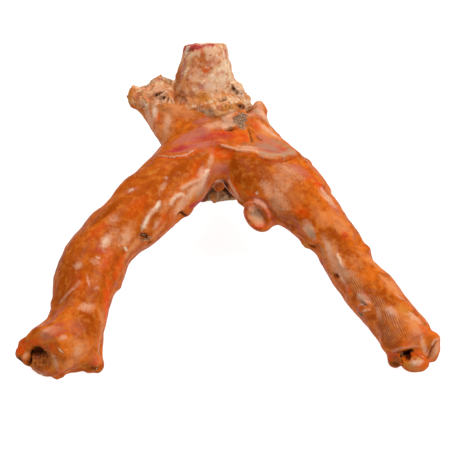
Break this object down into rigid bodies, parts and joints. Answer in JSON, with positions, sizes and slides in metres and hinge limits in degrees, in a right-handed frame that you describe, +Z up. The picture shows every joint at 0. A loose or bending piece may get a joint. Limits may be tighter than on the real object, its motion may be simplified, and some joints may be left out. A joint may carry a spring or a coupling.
{
  "type": "fossil coral branch",
  "caption": "Forked, solid branch of old coral with a crusted broken stem and side stub, two long smooth branches with worn ends, and a rear foot that it rests on.",
  "frame": {"origin": "on the surface that the coral stands on, under the middle of its box", "axes": "+Z up; +Y from the two long branch ends towards the broken stem; +X from the left branch end to the right one"},
  "size_m": [0.1486, 0.123, 0.0686],
  "materials": {
    "crusted_coral": "matte, pitted crust with glossier worn places",
    "smooth_coral": "waxy, softly glossy and finely striated"
  },
  "bodies": {
    "root": {"stem": "crusted_coral", "left_branch": "smooth_coral", "right_branch": "smooth_coral", "rear_foot": "crusted_coral"}
  },
  "joints": []
}
